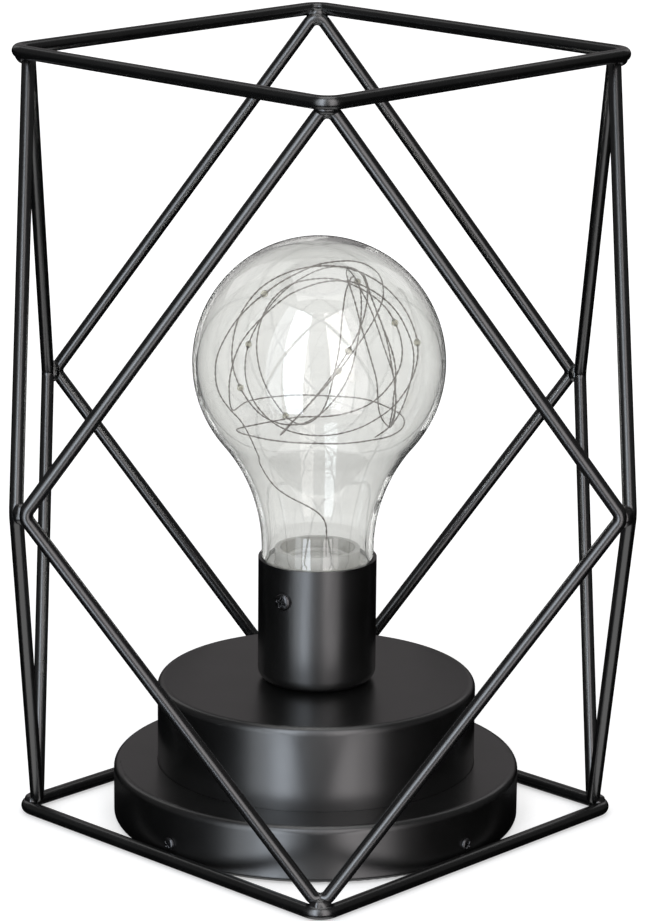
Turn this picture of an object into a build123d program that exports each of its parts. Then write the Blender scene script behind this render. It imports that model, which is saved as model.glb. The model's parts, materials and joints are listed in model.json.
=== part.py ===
from build123d import *
from collections import namedtuple
from math import cos, hypot, pi, radians, sin, sqrt
import os

# A cordless table lamp. A cage of bent wire stands round a stepped base, which holds three
# AA cells, a switch and a timer board. A tube on the base holds a clear bulb, and in the bulb
# lies one thin wire with small lights.
# Sizes are in millimetres. +Z is up, the front is towards -Y, and the origin is the middle
# of the lamp on the table.

# Wire cage
cage_height = 188.0
wire_d = 3.2
ring_bend = 4.0  # radius of the wire's middle line at a ring's corner
hoop_bend = 2.5  # the same for a hoop's corner
weld_lean = 46.0  # degrees that a hoop's tip lies inwards of straight below the ring
weld_gap = 0.05  # between the two wires of a joint, which the weld fills
weld_r = 2.0

# Base drums
lower_drum_r = 49.0
lower_drum_top = 14.0
upper_drum_h = 20.4  # above the lower drum
bay_room = 0.5  # from the bay's corners to the upper drum's inner wall
drum_wall = 2.0
drum_edge_round = 1.8
drum_foot_round = 1.2
drum_lift = 0.3  # from the table to the lower drum's rim
rim_curl = 1.3  # how far the rim turns in below the cover
seat_depth = 0.8  # the upper drum stands this deep in the lower one
boss_r = 3.0
ear_extra_r = 0.3
ear_t = 2.0
rib_t = 1.2
drum_boss_inset = 3.6  # from the upper drum's inner wall to a boss's axis
cover_boss_inset = 5.5  # the same in the lower drum
cover_screw_angle = 25.0

# Cover under the base, with the battery bay moulded on it
cover_lift = 1.2  # from the table to its outer face
cover_t = 2.0
bay_wall = 1.8
bay_roof = 1.2
bay_corner = 3.0
bay_ledge = 0.9  # part of the bay's wall that the door closes against
cell_room = 0.3  # above and below the cells
divider_t = 0.8
divider_h = 3.0
divider_short = 5.5  # from each end of the bay
head_sink = 1.0  # depth of the recesses for the cover screws' heads
foot_r = 4.0
foot_t = 1.4
foot_inset = 1.6  # from the cover's edge
foot_angle = 60.0

# AA cells
cell_d = 14.2
cell_body = 49.2
nub_d = 5.3
nub_h = 1.0
cell_gap = 0.4

# Battery contacts
contact_t = 0.4
contact_w = 10.0
contact_h = 7.4
contact_low = 3.8  # from the cover's inner face
tag_w = 2.4
tag_proud = 1.6  # above the bay's roof
spring_space = 3.3
spring_wire = 0.8
spring_r_wide = 4.0
spring_r_tip = 2.2
spring_turns = 3

# Battery door
door_gap = 0.3
hook_w = 4.0
hook_t = 1.2
hook_reach = 2.4
hook_riser = 2.5
hook_lift = 0.5
window_play = 0.3
latch_w = 9.0
latch_slot = 0.8
latch_len = 10.0
grip_start = 3.0  # from the door's end to the first groove
catch_w = 6.0
catch_t = 1.2
catch_h = 1.6
grip_count = 3
grip_len = 6.0
grip_w = 0.7
grip_pitch = 1.7
grip_depth = 0.4
scoop_r = 6.0
scoop_depth = 1.0

# Slide switch
switch_inset = 5.2  # from the cover's front edge
switch_len = 12.6
switch_w = 5.8
switch_h = 4.8
switch_wall = 0.6
flange_len = 19.6
flange_t = 0.6
stake_pitch = 15.6
stake_r = 0.9
stake_head_r = 1.5
stake_head_h = 0.5
switch_travel = 2.0
knob_len = 4.0
knob_w = 3.0
knob_recess = 0.1
slider_len = 7.0
slider_h = 1.4
switch_pin_pitch = 3.0
switch_pin_h = 0.9
switch_pin_w = 0.8
switch_pin_t = 0.4
knob_groove_w = 0.7
knob_groove_pitch = 1.2

# Timer board
board_len = 26.0
board_w = 18.0
board_t = 1.2
board_lift = 2.0
board_post_r = 2.0
board_hole_inset = 2.4
chip_size = (5.0, 4.0, 1.5)
chip_inset = (7.5, 7.0)  # from the board's left and back edges to its middle
crystal_d = 2.4
crystal_len = 6.4
crystal_inset = (7.0, 4.4)  # the same from the left and front edges
capacitor_d = 5.0
capacitor_h = 4.6
capacitor_inset = (6.5, 5.5)  # from the right and back edges
resistor_size = (3.0, 1.5, 0.6)
resistor_inset = (7.0, 3.1)  # of the front one, from the right and front edges
resistor_pitch = 2.2
resistor_count = 3

# Bulb holder and its hollow threaded tube
holder_r = 14.2
holder_h = 30.6
holder_wall = 0.7
holder_floor = 1.2
holder_foot_round = 3.0
nipple_r = 5.0
nipple_bore_r = 3.5
nipple_proud = 1.2  # past each nut
nut_flats = 14.0
nut_t = 3.0
washer_r = 8.5
washer_t = 0.8
holder_screw_drop = 8.0  # below the holder's rim
holder_screw_angle = 35.0  # degrees from the front towards the left

# Bulb
bulb_r = 30.0
neck_shows = 2.0  # straight part of the neck above the holder's rim
bulb_wall = 1.2
shoulder_angle = 40.0  # degrees below the middle where the globe turns into the neck
neck_depth = 15.0  # of the neck in the holder
plug_drop = 0.7  # from the holder's rim to the plug's face
plug_collar_r = 10.2
plug_collar_t = 1.2
plug_collar_h = 3.2
plug_wall = 2.0

# Wire of lights in the bulb
light_wire_d = 0.5
light_loops = 5
light_steps = 4  # stretches in each loop
light_clear = 2.4  # from the globe's inner wall to the first loop's top and sides
light_step_in = 1.35  # each loop is this much smaller than the one before
light_rise = 3.0  # of the loops' middle above the globe's
light_turn = 73.0  # degrees that each loop is turned about the lamp's axis
light_tilt = 24.0
light_start_angle = 95.0
light_start = 0.14  # of the first loop, past its lowest point, where the stem comes in
light_root_x = 2.0
light_root_y = -3.0
light_stem_rise = 5.0  # of the stem's straight part above the plug's collar
light_bend_x = -9.0  # a point on the stem's slanting part
light_bend_y = -3.0
light_bend_z = 14.5  # above the plug's collar
light_slant = 36.0  # degrees above level, there
bead_count = 9
bead_r = 0.8
bead_len = 2.2
bead_play = 0.08  # round the wire, which bends a little within a bead

# Leads
lead_d = 1.1
lead_pitch = 2.2
lead_bend = 1.3
lead_rise = 3.2  # above the board
lead_side = 2.5  # from a wall that a lead goes past
pad_inset = 1.2
battery_pad_y = 4.5

# Screws, each kind by its shank's radius and its head's radius and height
tapping_sizes = (1.2, 2.4, 1.5)
small_tapping_sizes = (0.8, 1.5, 0.9)
holder_machine_sizes = (1.1, 2.1, 1.3)
head_slope_share = 0.6  # of the head's height
drum_screw_len = 12.0
cover_screw_len = 8.0
hole_spare = 0.4  # a blind hole is this much deeper than its screw
cage_screw_len = 4.5
holder_screw_len = 4.6
screw_play = 0.3  # shank to a clearance hole
thread_gap = 0.05  # shank to the hole that it bites in
head_play = 0.4

# Fits
fit = 0.1
slide_gap = 0.3

# How the solids are made
cut_over = 1.0  # a cutting rod stands out this far past the face that it enters
tube_sides = 5  # of the wire of lights and the springs
lead_sides = 8
sample_step = 1.0  # between the points on which the wire's gap is measured
tiny = 1e-5  # of a turn, to find a curve's direction

# Worked out from the sizes above
Screw = namedtuple("Screw", "shank_r head_r head_h")
tapping = Screw(*tapping_sizes)
small_tapping = Screw(*small_tapping_sizes)
holder_machine = Screw(*holder_machine_sizes)

cover_top = cover_lift + cover_t
cell_pitch = cell_d + cell_gap
cell_z = cover_top + cell_room + cell_d / 2
bay_len = cell_body + nub_h + spring_space + 2 * contact_t + cell_gap
bay_w = 3 * cell_pitch + cell_gap
bay_roof_z = cell_z + cell_d / 2 + cell_room
bay_top = bay_roof_z + bay_roof
bay_reach = hypot(bay_len / 2 + bay_wall, bay_w / 2 + bay_wall - bay_corner)

upper_inner_r = bay_reach + bay_room
upper_drum_r = upper_inner_r + drum_wall
lower_inner_r = lower_drum_r - drum_wall
base_top = lower_drum_top + upper_drum_h
seat_z = lower_drum_top - seat_depth
cover_r = lower_inner_r - rim_curl - fit
cover_boss_circle = lower_inner_r - cover_boss_inset
cover_head_z = cover_lift + head_sink
foot_circle_r = cover_r - foot_inset - foot_r
switch_y = switch_inset + switch_w / 2 - cover_r
drum_boss_circle = upper_inner_r - drum_boss_inset
ear_bottom = seat_z - ear_t
roof_under = base_top - drum_wall

ring_side = lower_drum_r + fit + wire_d / 2
ring_apex = ring_side * sqrt(2) - ring_bend * (sqrt(2) - 1)
wire_pitch = wire_d + weld_gap
hoop_plane = ring_apex - wire_pitch * sin(radians(weld_lean))
hoop_drop = wire_pitch * cos(radians(weld_lean))
low_ring_z = wire_d / 2
high_ring_z = cage_height - wire_d / 2
hoop_low_z = low_ring_z + hoop_drop
hoop_high_z = high_ring_z - hoop_drop
hoop_mid_z = (hoop_low_z + hoop_high_z) / 2
hoop_side = hoop_plane - wire_pitch / sqrt(2)

corner_grow = 2 - sqrt(2)  # what a cut corner gains per millimetre that its outline grows
bay_corner_in = bay_corner - bay_wall * corner_grow
door_open_len = bay_len + 2 * bay_ledge
door_open_w = bay_w + 2 * bay_ledge
door_len = door_open_len - 2 * door_gap
door_w = door_open_w - 2 * door_gap
opening_corner = bay_corner - (bay_wall - bay_ledge) * corner_grow
door_corner = opening_corner - door_gap * corner_grow
door_top = cover_top - door_gap
door_axis_x = door_open_len / 2 - door_gap / 2
hook_y = cell_pitch / 2
hook_top = cover_top + hook_lift + hook_t
window_top = cover_lift + hypot(hook_reach, hook_top - cover_lift) + door_gap

board_z = bay_top + board_lift
board_top = board_z + board_t
board_screw_len = board_t + board_lift + bay_roof / 4
knob_slot_len = knob_len + 2 * (switch_travel + slide_gap)

holder_top = base_top + holder_h
holder_inner_r = holder_r - holder_wall
holder_screw_z = holder_top - holder_screw_drop
neck_r = holder_inner_r - fit
neck_inner_r = neck_r - bulb_wall
neck_end_z = holder_top - neck_depth
shoulder = radians(shoulder_angle)
throat_r = (bulb_r * cos(shoulder) - neck_r) / (1 - cos(shoulder))
bulb_centre_z = holder_top + neck_shows + (throat_r + bulb_r) * sin(shoulder)
nut_z_high = base_top + holder_floor
nut_z_low = roof_under - washer_t - nut_t
nipple_low = nut_z_low - nipple_proud
nipple_high = nut_z_high + nut_t + nipple_proud
plug_r = neck_inner_r - fit
plug_face_z = holder_top - plug_drop
plug_under = plug_face_z - plug_wall


def turned(points, rounds=()):
    """A solid of revolution about Z from an outline in radius and height."""
    face = make_face(Polyline(*points, close=True))
    for corner, radius in rounds:
        spot = Vector(corner[0], corner[1])
        face = fillet(face.vertices().sort_by_distance(spot)[0], radius)
    return revolve(Plane.XZ * face, Axis.Z)


def rod(radius, low, high):
    """A round bar about Z between two heights."""
    return Pos(0, 0, low) * Cylinder(radius, high - low, align=(Align.CENTER, Align.CENTER, Align.MIN))


def block(size_x, size_y, low, high):
    """A box about the axis between two heights."""
    return Pos(0, 0, low) * Box(size_x, size_y, high - low, align=(Align.CENTER, Align.CENTER, Align.MIN))


def polar(radius, count, start=0.0):
    """Places on a circle, turned to face outwards along their own X."""
    return PolarLocations(radius, count, start_angle=start)


def group(solids):
    """Separate solids that share one node."""
    return Compound(children=[solid for shape in solids for solid in shape.solids()])


def bent_wire(corners, bend, diameter):
    """A closed loop of round wire with bent corners; the weld that closes it doesn't show."""
    path = FilletPolyline(*corners, radius=bend, close=True)
    section = Plane(origin=path @ 0, z_dir=path % 0) * Circle(diameter / 2)
    return sweep(section, path=path)


def loop_corners(half_x, half_y, bend):
    """Corners of the diamond whose bends reach out to half_x and half_y."""
    inner_x = half_x - bend
    inner_y = half_y - bend
    inner_side = inner_x * inner_y / sqrt(inner_x**2 + inner_y**2)
    grow = (inner_side + bend) / inner_side
    return [(inner_x * grow, 0), (0, inner_y * grow), (-inner_x * grow, 0), (0, -inner_y * grow)]


def cage_ring(z):
    """A flat square ring with its corners to the front, back and sides."""
    corners = [(x, y, z) for x, y in loop_corners(ring_apex, ring_apex, ring_bend)]
    return bent_wire(corners, ring_bend, wire_d)


def cage_hoop(angle):
    """One upright diamond hoop, the front one turned about Z by the angle."""
    half_height = (hoop_high_z - hoop_low_z) / 2
    flat = loop_corners(hoop_side, half_height, hoop_bend)
    corners = [(x, -hoop_plane, hoop_mid_z + z) for x, z in flat]
    return Rot(0, 0, angle) * bent_wire(corners, hoop_bend, wire_d)


def cage_welds():
    """A bead of weld metal at each joint, sunk into the two wires that it joins."""
    between = (ring_apex + hoop_plane) / 2
    edge = (hoop_plane + hoop_side) / 2
    beads = []
    for angle in (0, 90, 180, 270):
        turn = Rot(0, 0, angle)
        beads.append(turn * Pos(0, -between, (low_ring_z + hoop_low_z) / 2) * Sphere(weld_r))
        beads.append(turn * Pos(0, -between, (high_ring_z + hoop_high_z) / 2) * Sphere(weld_r))
        beads.append(turn * Pos(edge, -edge, hoop_mid_z) * Sphere(weld_r))
    return group(beads)


def screw(kind, length):
    """A pan-head screw along +Z, with its head's flat side at the origin."""
    shank_r, head_r, head_h = kind
    slope = head_h * head_slope_share
    outline = [(0, -head_h), (head_r - slope, -head_h), (head_r, slope - head_h), (head_r, 0)]
    outline += [(shank_r, 0), (shank_r, length), (0, length)]
    return turned(outline)


def lower_drum():
    """The wide step of the base, open below, with its screw bosses and ears."""
    lip_r = cover_r + fit
    outline = [
        (lip_r, drum_lift),
        (lower_drum_r, drum_lift),
        (lower_drum_r, lower_drum_top),
        (upper_drum_r + fit, lower_drum_top),
        (upper_drum_r + fit, seat_z),
        (upper_inner_r, seat_z),
        (upper_inner_r, lower_drum_top - drum_wall),
        (lower_inner_r, lower_drum_top - drum_wall),
        (lower_inner_r, cover_top),
        (lip_r, cover_top),
    ]
    rounds = [((lower_drum_r, drum_lift), drum_foot_round), ((lower_drum_r, lower_drum_top), drum_edge_round)]
    body = turned(outline, rounds)
    ceiling = lower_drum_top - drum_wall
    rib = Pos(cover_boss_inset / 2, 0, 0) * block(cover_boss_inset + fit, rib_t, cover_top, ceiling)
    for place in cover_screw_places():
        body += place * (rod(boss_r, cover_top, ceiling) + rib)
    ear_r = boss_r + ear_extra_r
    neck_len = drum_boss_inset + drum_wall / 2
    neck = Pos(neck_len / 2, 0, 0) * block(neck_len, 2 * ear_r, ear_bottom, seat_z)
    for place in polar(drum_boss_circle, 4):
        body += place * (rod(ear_r, ear_bottom, seat_z) + neck)
        body -= place * rod(tapping.shank_r + screw_play, ear_bottom, seat_z)
    for place in cover_screw_places():
        hole_top = cover_head_z + cover_screw_len + hole_spare
        body -= place * rod(tapping.shank_r + thread_gap, cover_top, hole_top)
    for place in cage_screw_places():
        body -= place * rod(small_tapping.shank_r + thread_gap, -cut_over, cage_screw_len)
    return body


def upper_drum():
    """The narrow step of the base: a cup with its mouth down and four bosses."""
    hole_r = nipple_r + fit
    outline = [
        (upper_inner_r, seat_z),
        (upper_drum_r, seat_z),
        (upper_drum_r, base_top),
        (hole_r, base_top),
        (hole_r, roof_under),
        (upper_inner_r, roof_under),
    ]
    body = turned(outline, [((upper_drum_r, base_top), drum_edge_round)])
    rib = Pos(drum_boss_inset / 2, 0, 0) * block(drum_boss_inset + fit, rib_t, seat_z, roof_under)
    for place in polar(drum_boss_circle, 4):
        body += place * (rod(boss_r, seat_z, roof_under) + rib)
        body -= place * rod(tapping.shank_r + thread_gap, seat_z, ear_bottom + drum_screw_len + hole_spare)
    return body


def rectangle_places(angle, radius):
    """The corners of a rectangle on a circle, the first at the angle, turned to face outwards."""
    angles = [angle, 180 - angle, 180 + angle, -angle]
    return [Rot(0, 0, corner) * Pos(radius, 0, 0) for corner in angles]


def cover_screw_places():
    """The cover's four screws, clear of the bay and the switch."""
    return rectangle_places(cover_screw_angle, cover_boss_circle)


def cage_screw_places():
    """Where the four side screws enter the drum, each resting on the cage's ring."""
    height = wire_d + thread_gap + small_tapping.head_r
    return [Rot(0, 0, angle) * Pos(lower_drum_r, 0, height) * Rot(0, -90, 0) for angle in (45, 135, 225, 315)]


def holder_screw_places():
    """The two side screws of the holder, opposite each other."""
    angles = (-90 - holder_screw_angle, 90 - holder_screw_angle)
    return [Rot(0, 0, angle) * Pos(holder_r, 0, holder_screw_z) * Rot(0, -90, 0) for angle in angles]


def bay_outline(length, width, corner):
    """A rectangle with cut corners."""
    shape = Rectangle(length, width)
    return chamfer(shape.vertices(), corner)


def base_cover():
    """The flat cover and the battery bay, moulded in one."""
    body = rod(cover_r, cover_lift, cover_top)
    outer = bay_outline(bay_len + 2 * bay_wall, bay_w + 2 * bay_wall, bay_corner)
    body += Pos(0, 0, cover_lift) * extrude(outer, bay_top - cover_lift)
    inner = bay_outline(bay_len, bay_w, bay_corner_in)
    body -= Pos(0, 0, cover_lift) * extrude(inner, bay_roof_z - cover_lift)
    opening = bay_outline(door_open_len, door_open_w, opening_corner)
    body -= Pos(0, 0, cover_lift) * extrude(opening, cover_t)
    divider_len = bay_len - 2 * divider_short
    for side in (-1, 1):
        divider = block(divider_len, divider_t, bay_roof_z - divider_h, bay_roof_z + bay_roof / 2)
        body += Pos(0, side * cell_pitch / 2, 0) * divider
        window = block(2 * bay_wall, hook_w + 2 * window_play, cover_top, window_top)
        body -= Pos(bay_len / 2 + bay_wall / 2, side * hook_y, 0) * window
    for place in board_post_places():
        body += place * rod(board_post_r, bay_top, board_z)
        body -= place * rod(small_tapping.shank_r + thread_gap, bay_top - bay_roof / 2, board_z)
    for end in (-1, 1):
        slot = block(contact_t + fit, tag_w + 2 * fit, bay_roof_z, bay_top)
        body -= Pos(end * (bay_len / 2 - contact_t / 2), end * cell_pitch, 0) * slot
    body -= Pos(0, switch_y, 0) * block(knob_slot_len, knob_w + 2 * slide_gap, cover_lift, cover_top)
    for side in (-1, 1):
        stake = rod(stake_r, cover_top, cover_top + flange_t)
        stake += rod(stake_head_r, cover_top + flange_t, cover_top + flange_t + stake_head_h)
        body += Pos(side * stake_pitch / 2, switch_y, 0) * stake
    for place in cover_screw_places():
        body -= place * rod(tapping.shank_r + screw_play, cover_lift, cover_top)
        body -= place * rod(tapping.head_r + head_play, cover_lift, cover_head_z)
    for place in foot_places():
        body -= place * rod(foot_r + fit, cover_lift, foot_t)
    scoop = Pos(-door_open_len / 2, 0, 0) * rod(scoop_r, cover_lift, cover_lift + scoop_depth)
    return body - scoop


def board_post_places():
    """The four corner holes of the timer board."""
    x = board_len / 2 - board_hole_inset
    y = board_w / 2 - board_hole_inset
    return [Pos(side_x * x, side_y * y, 0) for side_x in (-1, 1) for side_y in (-1, 1)]


def foot_places():
    """Four pads, clear of the bay and the screws."""
    return rectangle_places(foot_angle, foot_circle_r)


def battery_door():
    """The door with two hooks at one end and a springy latch at the other."""
    plate = Pos(0, 0, cover_lift) * extrude(bay_outline(door_len, door_w, door_corner), door_top - cover_lift)
    end_x = door_len / 2
    riser_x = bay_len / 2 - door_gap - hook_riser / 2
    lip_len = hook_riser + door_axis_x + hook_reach - (bay_len / 2 - door_gap)
    for side in (-1, 1):
        riser = Pos(riser_x, side * hook_y, 0) * block(hook_riser, hook_w, door_top, hook_top)
        lip_x = riser_x - hook_riser / 2 + lip_len / 2
        lip = Pos(lip_x, side * hook_y, 0) * block(lip_len, hook_w, hook_top - hook_t, hook_top)
        plate += riser + lip
        slot_y = side * (latch_w / 2 + latch_slot / 2)
        slot = Pos(-end_x + latch_len / 2, slot_y, 0) * block(latch_len, latch_slot, cover_lift, door_top)
        plate -= slot
    catch_x = -(bay_len / 2 - door_gap - catch_t / 2)
    plate += Pos(catch_x, 0, 0) * block(catch_t, catch_w, door_top, door_top + catch_h)
    for index in range(grip_count):
        groove_x = -end_x + grip_start + index * grip_pitch
        plate -= Pos(groove_x, 0, 0) * block(grip_w, grip_len, cover_lift, cover_lift + grip_depth)
    return plate


def battery_cell(index):
    """An AA cell lying along X; the middle one is turned the other way."""
    outline = [(0, 0), (cell_d / 2, 0), (cell_d / 2, cell_body), (nub_d / 2, cell_body)]
    outline += [(nub_d / 2, cell_body + nub_h), (0, cell_body + nub_h)]
    cell = turned(outline)
    foot_x = -bay_len / 2 + contact_t + spring_space + cell_gap / 2
    lying = Pos(foot_x, 0, 0) * Rot(0, 90, 0) * cell
    turn = Rot(0, 0, 180 if index == 1 else 0)
    return Pos(0, (index - 1) * cell_pitch, cell_z) * turn * lying


def contact_spring():
    """A cone of wire that presses on a cell's flat end, along +X from the origin."""
    length = spring_space - spring_wire / 2
    path = []

    def on_cone(turns):
        radius = spring_r_wide + (spring_r_tip - spring_r_wide) * turns / spring_turns
        along = spring_wire / 2 + (length - spring_wire / 2) * turns / spring_turns
        angle = 2 * pi * turns
        return Vector(along, radius * cos(angle), radius * sin(angle))

    for step in range(spring_turns * 2):
        path += smooth_arcs(on_cone, step / 2, (step + 1) / 2)
    return round_sweep(path, spring_wire / 2)


def contact_plate(end, low_y, high_y):
    """A flat strip at one end of the bay, from one cell's middle to another's."""
    middle = (low_y + high_y) / 2
    width = high_y - low_y + contact_w
    low = cover_top + contact_low
    strip = block(contact_t, width, low, low + contact_h)
    return Pos(end * (bay_len / 2 - contact_t / 2), middle, 0) * strip


def end_contact(end):
    """The first or last strip, with a tag that stands up through the bay's roof."""
    strip = contact_plate(end, end * cell_pitch, end * cell_pitch)
    tag = block(contact_t, tag_w, cover_top + contact_low, bay_top + tag_proud)
    return strip + Pos(end * (bay_len / 2 - contact_t / 2), end * cell_pitch, 0) * tag


def contacts():
    """Four contact strips, with a spring where a cell's flat end meets them."""
    spring_rows = [(-1, -cell_pitch), (1, 0), (-1, cell_pitch)]
    strips = {
        "contact_minus": end_contact(-1),
        "contact_bridge_right": contact_plate(1, -cell_pitch, 0),
        "contact_bridge_left": contact_plate(-1, 0, cell_pitch),
        "contact_plus": end_contact(1),
    }
    springs = []
    for end, y in spring_rows:
        turn = Rot(0, 0, 0 if end < 0 else 180)
        springs.append(Pos(end * (bay_len / 2 - contact_t), y, cell_z) * turn * contact_spring())
    return strips, group(springs)


def switch_body():
    """The switch's metal case: a flange on the cover and a box with a room for the slider."""
    low = cover_top
    body = block(flange_len, switch_w, low, low + flange_t)
    body += block(switch_len, switch_w, low, low + switch_h)
    room_len = slider_len + 2 * (switch_travel + slide_gap)
    room_w = knob_w + 2 * slide_gap
    body -= block(room_len, room_w, low + switch_wall, low + switch_wall + slider_h + 2 * slide_gap)
    body -= block(knob_slot_len, room_w, low, low + switch_wall)
    for side in (-1, 1):
        body -= Pos(side * stake_pitch / 2, 0, 0) * rod(stake_r, low, low + flange_t)
    for index in (-1, 0, 1):
        pin = block(switch_pin_w, switch_pin_t, low + switch_h, low + switch_h + switch_pin_h)
        body += Pos(index * switch_pin_pitch, 0, 0) * pin
    return Pos(0, switch_y, 0) * body


def switch_knob():
    """The knob: a finger pad below the cover and a slider that can't fall out."""
    low = cover_top + switch_wall + slide_gap
    knob = block(knob_len, knob_w, cover_lift + knob_recess, low)
    knob += block(slider_len, knob_w, low, low + slider_h)
    groove = Rot(0, 45, 0) * Box(knob_groove_w, knob_w + cut_over, knob_groove_w)
    for index in (-1, 0, 1):
        knob -= Pos(index * knob_groove_pitch, 0, cover_lift + knob_recess) * groove
    return Pos(0, switch_y, 0) * knob


def timer_board():
    """The circuit board on its four posts."""
    board = block(board_len, board_w, board_z, board_top)
    for place in board_post_places():
        board -= place * rod(small_tapping.shank_r + screw_play, board_z, board_top)
    return board


def board_spot(side_x, side_y, inset):
    """A place on the board, inset from the edges on the named sides."""
    return Pos(side_x * (board_len / 2 - inset[0]), side_y * (board_w / 2 - inset[1]), board_top)


def board_parts():
    """A chip, a crystal can, a capacitor and three resistors."""
    chip_len, chip_w, chip_h = chip_size
    parts = [board_spot(-1, 1, chip_inset) * block(chip_len, chip_w, 0, chip_h)]
    crystal = Pos(0, 0, crystal_d / 2) * Rot(0, 90, 0) * Cylinder(crystal_d / 2, crystal_len)
    parts.append(board_spot(-1, -1, crystal_inset) * crystal)
    parts.append(board_spot(1, 1, capacitor_inset) * rod(capacitor_d / 2, 0, capacitor_h))
    resistor_len, resistor_w, resistor_h = resistor_size
    resistor = block(resistor_len, resistor_w, 0, resistor_h)
    for index in range(resistor_count):
        parts.append(Pos(0, index * resistor_pitch, 0) * board_spot(1, -1, resistor_inset) * resistor)
    return group(parts)


def bulb_holder():
    """The tube that takes the bulb's neck: a drawn cup with a round foot."""
    hole_r = nipple_r + fit
    inner_round = holder_foot_round - holder_wall
    outline = [
        (hole_r, base_top),
        (holder_r, base_top),
        (holder_r, holder_top),
        (holder_inner_r, holder_top),
        (holder_inner_r, base_top + holder_floor),
        (hole_r, base_top + holder_floor),
    ]
    foot = (holder_r, base_top)
    inside = (holder_inner_r, base_top + holder_floor)
    body = turned(outline, [(foot, holder_foot_round), (inside, inner_round)])
    for place in holder_screw_places():
        body -= place * rod(holder_machine.shank_r + screw_play, -cut_over, holder_wall + cut_over)
    return body


def bulb_outline(globe_r, neck, wall_offset):
    """The bulb's side from the top of the globe down to the neck's end, in radius and height."""
    join = (globe_r * cos(shoulder), bulb_centre_z - globe_r * sin(shoulder))
    side_r = throat_r + wall_offset
    neck_top = (neck, join[1] - side_r * sin(shoulder))
    half = shoulder / 2
    on_throat = (neck + side_r * (1 - cos(half)), neck_top[1] + side_r * sin(half))
    halfway = radians(90 - shoulder_angle) / 2
    on_globe = (globe_r * cos(halfway), bulb_centre_z + globe_r * sin(halfway))
    top = (0, bulb_centre_z + globe_r)
    return [
        ThreePointArc(top, on_globe, join),
        ThreePointArc(join, on_throat, neck_top),
        Line(neck_top, (neck, neck_end_z)),
    ]


def bulb_envelope():
    """The clear bulb: a globe that runs in one curve into its neck."""
    outer = bulb_outline(bulb_r, neck_r, 0)
    inner = bulb_outline(bulb_r - bulb_wall, neck_inner_r, bulb_wall)
    ends = [
        Line((neck_r, neck_end_z), (neck_inner_r, neck_end_z)),
        Line((0, bulb_centre_z + bulb_r - bulb_wall), (0, bulb_centre_z + bulb_r)),
    ]
    face = make_face(Wire(outer + inner + ends))
    body = revolve(Plane.XZ * face, Axis.Z)
    hole_depth = holder_r - neck_inner_r + cut_over
    for place in holder_screw_places():
        body -= place * rod(holder_machine.shank_r + screw_play, -cut_over, hole_depth)
    return body


def bulb_plug():
    """The pale plug in the neck, with a raised collar that shows above the holder."""
    outline = [
        (plug_collar_r - plug_collar_t, plug_face_z),
        (plug_collar_r - plug_collar_t, plug_face_z + plug_collar_h),
        (plug_collar_r, plug_face_z + plug_collar_h),
        (plug_collar_r, plug_face_z),
        (plug_r, plug_face_z),
        (plug_r, neck_end_z),
        (plug_r - plug_wall, neck_end_z),
        (plug_r - plug_wall, plug_under),
        (0, plug_under),
        (0, plug_face_z),
    ]
    body = turned(outline)
    wire_hole_r = light_wire_d / 2 + thread_gap
    body -= Pos(light_root_x, light_root_y, 0) * rod(wire_hole_r, plug_under, plug_face_z)
    for place in holder_screw_places():
        body -= place * rod(holder_machine.shank_r + thread_gap, 0, holder_screw_len + hole_spare)
    return body


def nipple():
    """The hollow threaded tube that ties the holder to the base; leads pass through it."""
    return rod(nipple_r, nipple_low, nipple_high) - rod(nipple_bore_r, nipple_low, nipple_high)


def nipple_nuts():
    """A nut inside the holder, and a nut under a washer inside the base."""
    bore = rod(nipple_r + thread_gap, nipple_low, nipple_high)
    nut = extrude(RegularPolygon(nut_flats / 2, 6, major_radius=False), nut_t)
    washer = rod(washer_r, roof_under - washer_t, roof_under)
    parts = [Pos(0, 0, nut_z_high) * nut, Pos(0, 0, nut_z_low) * nut, washer]
    return group([part - bore for part in parts])


def direction(curve, at):
    """The unit direction of a curve at one of its points."""
    return (curve(at + tiny) - curve(at - tiny)).normalized()


def smooth_arcs(curve, start, end):
    """Two arcs, tangent to each other and to the curve at both ends."""
    return biarc(curve(start), direction(curve, start), curve(end), direction(curve, end))


def biarc(first, out, last, into):
    """Two arcs from first to last that leave along out and arrive along into."""
    span = last - first
    reach = span.dot(out + into)
    bend = 2 * (1 - out.dot(into))
    reach_root = sqrt(reach**2 + bend * span.dot(span))
    arm = (reach_root - reach) / bend
    near = first + out * arm
    far = last - into * arm
    middle = (near + far) * 0.5
    return [
        Edge.make_tangent_arc(first, out, middle),
        Edge.make_tangent_arc(middle, far - near, last),
    ]


def round_sweep(edges, radius):
    """One unbroken tube of a few flat sides along arcs that run smoothly on."""
    path = Wire(edges)
    section = Plane(origin=path @ 0, z_dir=path % 0) * RegularPolygon(radius, tube_sides)
    return sweep(section, path=path, clean=False)


def light_point(loops):
    """A point on the wire of lights, counted in loops from its first low point."""
    width = bulb_r - bulb_wall - light_clear - light_wire_d / 2 - light_step_in * loops
    height = width - light_rise
    spin = radians(light_start_angle + light_turn * loops)
    tilt = radians(light_tilt) * sin(2 * pi * loops / light_loops)
    normal = Vector(cos(spin) * cos(tilt), sin(spin) * cos(tilt), sin(tilt))
    down = (Vector(0, 0, -1) - normal * Vector(0, 0, -1).dot(normal)).normalized()
    across = normal.cross(down)
    phase = 2 * pi * loops
    middle = Vector(0, 0, bulb_centre_z + light_rise)
    return middle + down * cos(phase) * height + across * sin(phase) * width


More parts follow.
